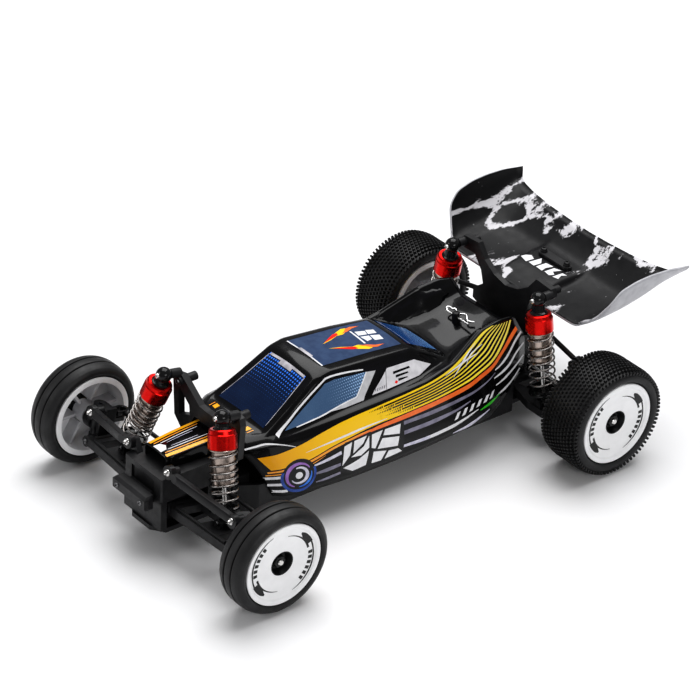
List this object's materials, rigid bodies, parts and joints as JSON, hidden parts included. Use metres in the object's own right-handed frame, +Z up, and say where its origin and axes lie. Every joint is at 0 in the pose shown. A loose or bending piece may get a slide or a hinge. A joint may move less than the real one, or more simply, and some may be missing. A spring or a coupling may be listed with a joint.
{
  "type": "radio-controlled off-road buggy",
  "caption": "Scale off-road buggy with narrow painted body shell, rear wing, sprung independent suspension, ribbed front and pin-spiked rear tyres.",
  "frame": {"origin": "on the ground under the middle of the overall box", "axes": "front of the buggy faces -Y, +X is the car's left side, +Z is up"},
  "size_m": [0.25, 0.427, 0.1316],
  "materials": {
    "chassis_plastic": "moulded black nylon, fine grain",
    "bumper_plastic": "moulded black nylon",
    "arm_plastic": "moulded black nylon, satin",
    "tower_plastic": "moulded black nylon, satin",
    "servo_case": "dark plastic case",
    "white_nylon": "white nylon",
    "battery_wrap": "blue shrink wrap",
    "motor_can": "plated steel can",
    "brass_gear": "machined",
    "gear_plastic": "moulded gear",
    "body_paint": "clear shell painted inside, black with yellow and orange stripes",
    "wing_sheet": "black sheet with white scratch pattern",
    "clip_wire": "sprung wire",
    "rim_white": "white nylon wheel",
    "tyre_rubber": "soft black rubber",
    "cap_red": "red anodised aluminium",
    "shock_aluminium": "turned aluminium",
    "steel_rod": "polished steel shaft",
    "spring_steel": "bright spring wire",
    "link_plastic": "black moulded link",
    "link_steel": "steel rod with moulded ends"
  },
  "bodies": {
    "root": {"chassis_tub": "chassis_plastic", "front_bulkhead": "chassis_plastic", "front_bumper": "bumper_plastic", "front_shock_tower": "tower_plastic", "steering_servo": "servo_case", "battery_pack": "battery_wrap", "speed_controller": "servo_case", "motor": "motor_can", "gearbox_case": "chassis_plastic", "rear_shock_tower": "tower_plastic", "body_shell": "body_paint", "body_clip": "clip_wire", "wing": "wing_sheet", "wing_mount": "tower_plastic"},
    "steering_horn": {"servo_horn": "white_nylon"},
    "rack": {"steering_rack": "link_plastic"},
    "pinion": {"motor_pinion": "brass_gear"},
    "spur": {"spur_gear": "gear_plastic"},
    "left_front_arm": {"left_front_arm": "arm_plastic"},
    "left_front_caster_block": {"left_front_caster_block": "arm_plastic"},
    "left_front_knuckle": {"left_front_knuckle": "arm_plastic"},
    "left_front_wheel": {"left_front_rim": "rim_white", "left_front_tyre": "tyre_rubber"},
    "left_front_camber_link": {"left_front_camber_link": "link_plastic"},
    "left_front_tie_rod": {"left_front_tie_rod": "link_steel"},
    "left_front_damper": {"left_front_shock_cap": "cap_red", "left_front_shock_body": "shock_aluminium", "left_front_spring": "spring_steel"},
    "left_front_damper_rod": {"left_front_shock_rod": "steel_rod"},
    "right_front_arm": {"right_front_arm": "arm_plastic"},
    "right_front_caster_block": {"right_front_caster_block": "arm_plastic"},
    "right_front_knuckle": {"right_front_knuckle": "arm_plastic"},
    "right_front_wheel": {"right_front_rim": "rim_white", "right_front_tyre": "tyre_rubber"},
    "right_front_camber_link": {"right_front_camber_link": "link_plastic"},
    "right_front_tie_rod": {"right_front_tie_rod": "link_steel"},
    "right_front_damper": {"right_front_shock_cap": "cap_red", "right_front_shock_body": "shock_aluminium", "right_front_spring": "spring_steel"},
    "right_front_damper_rod": {"right_front_shock_rod": "steel_rod"},
    "left_rear_arm": {"left_rear_arm": "arm_plastic"},
    "left_rear_hub_carrier": {"left_rear_hub_carrier": "arm_plastic"},
    "left_rear_wheel": {"left_rear_rim": "rim_white", "left_rear_tyre": "tyre_rubber"},
    "left_rear_camber_link": {"left_rear_camber_link": "link_plastic"},
    "left_rear_drive_shaft": {"left_rear_drive_shaft": "link_steel"},
    "left_rear_damper": {"left_rear_shock_cap": "cap_red", "left_rear_shock_body": "shock_aluminium", "left_rear_spring": "spring_steel"},
    "left_rear_damper_rod": {"left_rear_shock_rod": "steel_rod"},
    "right_rear_arm": {"right_rear_arm": "arm_plastic"},
    "right_rear_hub_carrier": {"right_rear_hub_carrier": "arm_plastic"},
    "right_rear_wheel": {"right_rear_rim": "rim_white", "right_rear_tyre": "tyre_rubber"},
    "right_rear_camber_link": {"right_rear_camber_link": "link_plastic"},
    "right_rear_drive_shaft": {"right_rear_drive_shaft": "link_steel"},
    "right_rear_damper": {"right_rear_shock_cap": "cap_red", "right_rear_shock_body": "shock_aluminium", "right_rear_spring": "spring_steel"},
    "right_rear_damper_rod": {"right_rear_shock_rod": "steel_rod"}
  },
  "joints": [
    {"name": "left_front_suspension", "type": "hinge", "parent": "root", "child": "left_front_arm", "pos_m": [0.017, -0.17564, 0.03045], "axis": [0, -0.9833, 0.1822], "range_deg": [0, 10], "stiffness_Nm_per_rad": 2, "springref_deg": -14.32},
    {"name": "left_front_caster_pivot", "type": "hinge", "parent": "left_front_arm", "child": "left_front_caster_block", "pos_m": [0.084, -0.17573, 0.02996], "axis": [0, -0.9833, 0.1822], "range_deg": [-14, 1]},
    {"name": "left_front_camber_pivot", "type": "hinge", "parent": "root", "child": "left_front_camber_link", "pos_m": [0.0235, -0.19626, 0.06733], "axis": [0, -0.9833, 0.1822], "range_deg": [-1, 12]},
    {"name": "left_front_damper_pivot", "type": "hinge", "parent": "root", "child": "left_front_damper", "pos_m": [0.0333, -0.16094, 0.10319], "axis": [0, -0.9833, 0.1822], "range_deg": [-1, 1]},
    {"name": "left_front_damper_travel", "type": "slide", "parent": "left_front_damper", "child": "left_front_damper_rod", "axis": [-0.3217, 0.1726, 0.931], "range_m": [-0.0002, 0.0075], "deforming": ["left_front_spring"]},
    {"name": "left_steer", "type": "hinge", "parent": "left_front_caster_block", "child": "left_front_knuckle", "pos_m": [0.093, -0.174, 0.0393], "axis": [0, 0.1822, 0.9833], "range_deg": [-24, 24]},
    {"name": "left_front_wheel_spin", "type": "hinge", "parent": "left_front_knuckle", "child": "left_front_wheel", "pos_m": [0.103, -0.174, 0.0393], "axis": [1, 0, 0], "continuous": true},
    {"name": "left_front_tie_rod_pivot", "type": "hinge", "parent": "rack", "child": "left_front_tie_rod", "pos_m": [0.022, -0.15347, 0.04033], "axis": [0, -0.9833, 0.1822], "range_deg": [-1, 10]},
    {"name": "right_front_suspension", "type": "hinge", "parent": "root", "child": "right_front_arm", "pos_m": [-0.017, -0.17564, 0.03045], "axis": [0, 0.9833, -0.1822], "range_deg": [0, 10], "stiffness_Nm_per_rad": 2, "springref_deg": -14.32},
    {"name": "right_front_caster_pivot", "type": "hinge", "parent": "right_front_arm", "child": "right_front_caster_block", "pos_m": [-0.084, -0.17573, 0.02996], "axis": [0, 0.9833, -0.1822], "range_deg": [-14, 1]},
    {"name": "right_front_camber_pivot", "type": "hinge", "parent": "root", "child": "right_front_camber_link", "pos_m": [-0.0235, -0.19626, 0.06733], "axis": [0, 0.9833, -0.1822], "range_deg": [-1, 12]},
    {"name": "right_front_damper_pivot", "type": "hinge", "parent": "root", "child": "right_front_damper", "pos_m": [-0.0333, -0.16094, 0.10319], "axis": [0, 0.9833, -0.1822], "range_deg": [-1, 1]},
    {"name": "right_front_damper_travel", "type": "slide", "parent": "right_front_damper", "child": "right_front_damper_rod", "axis": [0.3217, 0.1726, 0.931], "range_m": [-0.0002, 0.0075], "deforming": ["right_front_spring"]},
    {"name": "right_steer", "type": "hinge", "parent": "right_front_caster_block", "child": "right_front_knuckle", "pos_m": [-0.093, -0.174, 0.0393], "axis": [0, 0.1822, 0.9833], "range_deg": [-24.5, 24.5]},
    {"name": "right_front_wheel_spin", "type": "hinge", "parent": "right_front_knuckle", "child": "right_front_wheel", "pos_m": [-0.103, -0.174, 0.0393], "axis": [1, 0, 0], "continuous": true},
    {"name": "right_front_tie_rod_pivot", "type": "hinge", "parent": "rack", "child": "right_front_tie_rod", "pos_m": [-0.022, -0.15347, 0.04033], "axis": [0, 0.9833, -0.1822], "range_deg": [-1, 10]},
    {"name": "rack_travel", "type": "slide", "parent": "root", "child": "rack", "axis": [1, 0, 0], "range_m": [-0.009, 0.009]},
    {"name": "servo_output", "type": "hinge", "parent": "root", "child": "steering_horn", "pos_m": [0, -0.134, 0.043], "axis": [0, 0, 1], "range_deg": [-25, 25]},
    {"name": "left_rear_suspension", "type": "hinge", "parent": "root", "child": "left_rear_arm", "pos_m": [0.022, 0.124, 0.0295], "axis": [0, -1, 0], "range_deg": [0, 10], "stiffness_Nm_per_rad": 2.2, "springref_deg": -15.47},
    {"name": "left_rear_hub_pivot", "type": "hinge", "parent": "left_rear_arm", "child": "left_rear_hub_carrier", "pos_m": [0.08, 0.124, 0.0295], "axis": [0, -1, 0], "range_deg": [-14, 1]},
    {"name": "left_rear_camber_pivot", "type": "hinge", "parent": "root", "child": "left_rear_camber_link", "pos_m": [0.03, 0.129, 0.076], "axis": [0, -1, 0], "range_deg": [-1, 14]},
    {"name": "left_rear_shaft_pivot", "type": "hinge", "parent": "root", "child": "left_rear_drive_shaft", "pos_m": [0.025, 0.124, 0.0425], "axis": [0, -1, 0], "range_deg": [-1, 12]},
    {"name": "left_rear_damper_pivot", "type": "hinge", "parent": "root", "child": "left_rear_damper", "pos_m": [0.0473, 0.1088, 0.1129], "axis": [0, -1, 0], "range_deg": [-1, 1]},
    {"name": "left_rear_damper_travel", "type": "slide", "parent": "left_rear_damper", "child": "left_rear_damper_rod", "axis": [-0.1866, 0, 0.9824], "range_m": [-0.0002, 0.0076], "deforming": ["left_rear_spring"]},
    {"name": "left_rear_wheel_spin", "type": "hinge", "parent": "left_rear_hub_carrier", "child": "left_rear_wheel", "pos_m": [0.1, 0.124, 0.0425], "axis": [1, 0, 0], "continuous": true},
    {"name": "right_rear_suspension", "type": "hinge", "parent": "root", "child": "right_rear_arm", "pos_m": [-0.022, 0.124, 0.0295], "axis": [0, 1, 0], "range_deg": [0, 10], "stiffness_Nm_per_rad": 2.2, "springref_deg": -15.47},
    {"name": "right_rear_hub_pivot", "type": "hinge", "parent": "right_rear_arm", "child": "right_rear_hub_carrier", "pos_m": [-0.08, 0.124, 0.0295], "axis": [0, 1, 0], "range_deg": [-14, 1]},
    {"name": "right_rear_camber_pivot", "type": "hinge", "parent": "root", "child": "right_rear_camber_link", "pos_m": [-0.03, 0.129, 0.076], "axis": [0, 1, 0], "range_deg": [-1, 14]},
    {"name": "right_rear_shaft_pivot", "type": "hinge", "parent": "root", "child": "right_rear_drive_shaft", "pos_m": [-0.025, 0.124, 0.0425], "axis": [0, 1, 0], "range_deg": [-1, 12]},
    {"name": "right_rear_damper_pivot", "type": "hinge", "parent": "root", "child": "right_rear_damper", "pos_m": [-0.0473, 0.1088, 0.1129], "axis": [0, 1, 0], "range_deg": [-1, 1]},
    {"name": "right_rear_damper_travel", "type": "slide", "parent": "right_rear_damper", "child": "right_rear_damper_rod", "axis": [0.1866, 0, 0.9824], "range_m": [-0.0002, 0.0076], "deforming": ["right_rear_spring"]},
    {"name": "right_rear_wheel_spin", "type": "hinge", "parent": "right_rear_hub_carrier", "child": "right_rear_wheel", "pos_m": [-0.1, 0.124, 0.0425], "axis": [1, 0, 0], "continuous": true},
    {"name": "spur_spin", "type": "hinge", "parent": "root", "child": "spur", "pos_m": [0.0235, 0.096, 0.048], "axis": [1, 0, 0], "continuous": true},
    {"name": "motor_spin", "type": "hinge", "parent": "root", "child": "pinion", "pos_m": [0.0235, 0.0753, 0.0444], "axis": [1, 0, 0], "continuous": true}
  ],
  "couplings": [
    {"joint": "left_front_caster_pivot", "follows": "left_front_suspension", "ratio": -1.3585},
    {"joint": "left_front_camber_pivot", "follows": "left_front_suspension", "ratio": 1.1384},
    {"joint": "left_front_damper_pivot", "follows": "left_front_suspension", "ratio": 0.047},
    {"joint": "left_front_damper_travel", "follows": "left_front_suspension", "m_per_rad": 0.039655},
    {"joint": "left_front_tie_rod_pivot", "follows": "left_front_suspension", "ratio": 0.8854},
    {"joint": "right_front_caster_pivot", "follows": "right_front_suspension", "ratio": -1.3585},
    {"joint": "right_front_camber_pivot", "follows": "right_front_suspension", "ratio": 1.1384},
    {"joint": "right_front_damper_pivot", "follows": "right_front_suspension", "ratio": 0.047},
    {"joint": "right_front_damper_travel", "follows": "right_front_suspension", "m_per_rad": 0.039655},
    {"joint": "right_steer", "follows": "left_steer", "ratio": 1},
    {"joint": "right_front_tie_rod_pivot", "follows": "right_front_suspension", "ratio": 0.8854},
    {"joint": "rack_travel", "follows": "left_steer", "m_per_rad": -0.01942},
    {"joint": "servo_output", "follows": "left_steer", "ratio": -1},
    {"joint": "left_rear_hub_pivot", "follows": "left_rear_suspension", "ratio": -1.2944},
    {"joint": "left_rear_camber_pivot", "follows": "left_rear_suspension", "ratio": 1.3606},
    {"joint": "left_rear_shaft_pivot", "follows": "left_rear_suspension", "ratio": 1.142},
    {"joint": "left_rear_damper_pivot", "follows": "left_rear_suspension", "ratio": -0.0273},
    {"joint": "left_rear_damper_travel", "follows": "left_rear_suspension", "m_per_rad": 0.040344},
    {"joint": "right_rear_hub_pivot", "follows": "right_rear_suspension", "ratio": -1.2944},
    {"joint": "right_rear_camber_pivot", "follows": "right_rear_suspension", "ratio": 1.3606},
    {"joint": "right_rear_shaft_pivot", "follows": "right_rear_suspension", "ratio": 1.142},
    {"joint": "right_rear_damper_pivot", "follows": "right_rear_suspension", "ratio": -0.0273},
    {"joint": "right_rear_damper_travel", "follows": "right_rear_suspension", "m_per_rad": 0.040344},
    {"joint": "motor_spin", "follows": "spur_spin", "ratio": -2.5}
  ]
}
